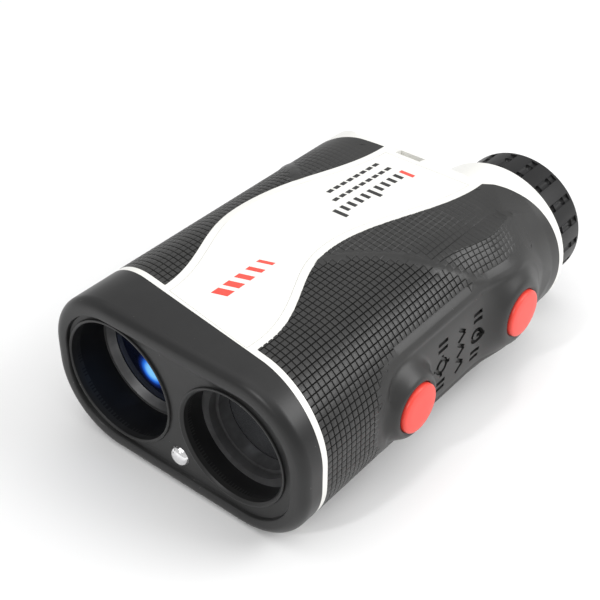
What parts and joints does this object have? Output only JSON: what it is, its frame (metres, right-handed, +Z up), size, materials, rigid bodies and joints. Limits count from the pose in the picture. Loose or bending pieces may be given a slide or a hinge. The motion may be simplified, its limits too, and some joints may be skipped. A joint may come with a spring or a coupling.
{
  "type": "laser rangefinder",
  "caption": "Pocket laser rangefinder with front windows for aiming and receiving, a turning dioptre ring, side push buttons, rubber grips and a screw-out battery cap.",
  "frame": {"origin": "on the surface it lies on, at the middle of the flat underside", "axes": "+X towards the side with the buttons, +Y from the front windows to the eyepiece, +Z up from the side it lies on"},
  "size_m": [0.0732, 0.1125, 0.039],
  "materials": {
    "white_shell": "semi-gloss moulded white shell",
    "label_white": "smooth printed plate",
    "grip_rubber": "matt overmoulded rubber with raised tiles",
    "bumper_rubber": "soft satin black rubber",
    "button_red": "satin coral red",
    "ring_black": "semi-gloss black with moulded grooves",
    "eyecup_rubber": "soft matt black",
    "barrel_black": "satin black",
    "ring_metal": "black anodised, turned",
    "lens_blue": "blue anti-reflection coating",
    "lens_clear": "clear coated glass",
    "indicator_lens": "clear lens over a bright reflector",
    "prism_glass": "polished optical glass",
    "gasket": "silicone gasket",
    "screw_steel": "zinc plated",
    "circuit_green": "solder mask",
    "chip_black": "epoxy",
    "contact_metal": "nickel plated",
    "holder_brass": "turned brass",
    "led_epoxy": "clear epoxy",
    "battery_wrap": "plain printed steel can"
  },
  "bodies": {
    "housing": {"upper_cover": "white_shell", "lower_cover": "white_shell", "cover_seal": "gasket", "cover_screws": "screw_steel", "front_bumper": "bumper_rubber", "upper_plate": "label_white", "lower_plate": "label_white", "grip_button_side": "grip_rubber", "grip_far_side": "grip_rubber", "button_deck": "grip_rubber", "left_barrel": "barrel_black", "right_barrel": "barrel_black", "left_retaining_ring": "ring_metal", "right_retaining_ring": "ring_metal", "receiver_lens": "lens_blue", "objective_lens": "lens_clear", "indicator_dome": "indicator_lens", "indicator_led": "led_epoxy", "indicator_board": "circuit_green", "mode_spring": "gasket", "power_spring": "gasket", "mode_switch": "contact_metal", "power_switch": "contact_metal", "button_board": "circuit_green", "eyepiece_tube": "barrel_black", "field_lens": "lens_clear", "half_penta_prism": "prism_glass", "roof_prism": "prism_glass", "prism_cradle": "barrel_black", "reticle_display": "lens_clear", "laser_holder": "holder_brass", "laser_diode": "holder_brass", "sensor_holder": "barrel_black", "photodiode": "contact_metal", "receiver_board": "circuit_green", "main_board": "circuit_green", "processor": "chip_black", "storage_capacitor": "chip_black", "battery_tube": "barrel_black", "front_contact": "contact_metal", "battery": "battery_wrap"},
    "mode_button": {"mode_button": "button_red"},
    "power_button": {"power_button": "button_red"},
    "dioptre_ring": {"dioptre_ring": "ring_black", "eyecup": "eyecup_rubber"},
    "eyepiece_cell": {"eyepiece_cell": "barrel_black", "eye_lens": "lens_clear"},
    "cap_contact": {"rear_contact": "contact_metal"},
    "battery_cap": {"battery_cap": "ring_black", "cap_seal": "gasket"}
  },
  "joints": [
    {"name": "mode_press", "type": "slide", "parent": "housing", "child": "mode_button", "axis": [-1, 0, 0], "range_m": [0, 0.0008], "stiffness_N_per_m": 1500, "springref_m": -0.0004, "deforming": ["mode_spring"]},
    {"name": "power_press", "type": "slide", "parent": "housing", "child": "power_button", "axis": [-1, 0, 0], "range_m": [0, 0.0008], "stiffness_N_per_m": 1500, "springref_m": -0.0004, "deforming": ["power_spring"]},
    {"name": "dioptre_turn", "type": "hinge", "parent": "housing", "child": "dioptre_ring", "pos_m": [0.0154, 0, 0.0195], "axis": [0, 1, 0], "range_deg": [-90, 90]},
    {"name": "eyepiece_focus", "type": "slide", "parent": "housing", "child": "eyepiece_cell", "axis": [0, 1, 0], "range_m": [-0.001, 0.001]},
    {"name": "cap_travel", "type": "slide", "parent": "housing", "child": "cap_contact", "axis": [0, 1, 0], "range_m": [0, 0.00401]},
    {"name": "cap_turn", "type": "hinge", "parent": "cap_contact", "child": "battery_cap", "pos_m": [-0.0174, 0, 0.0195], "axis": [0, 1, 0], "range_deg": [0, 720]}
  ],
  "couplings": [
    {"joint": "eyepiece_focus", "follows": "dioptre_turn", "m_per_rad": 0.00063662},
    {"joint": "cap_travel", "follows": "cap_turn", "m_per_rad": 0.00031831}
  ]
}
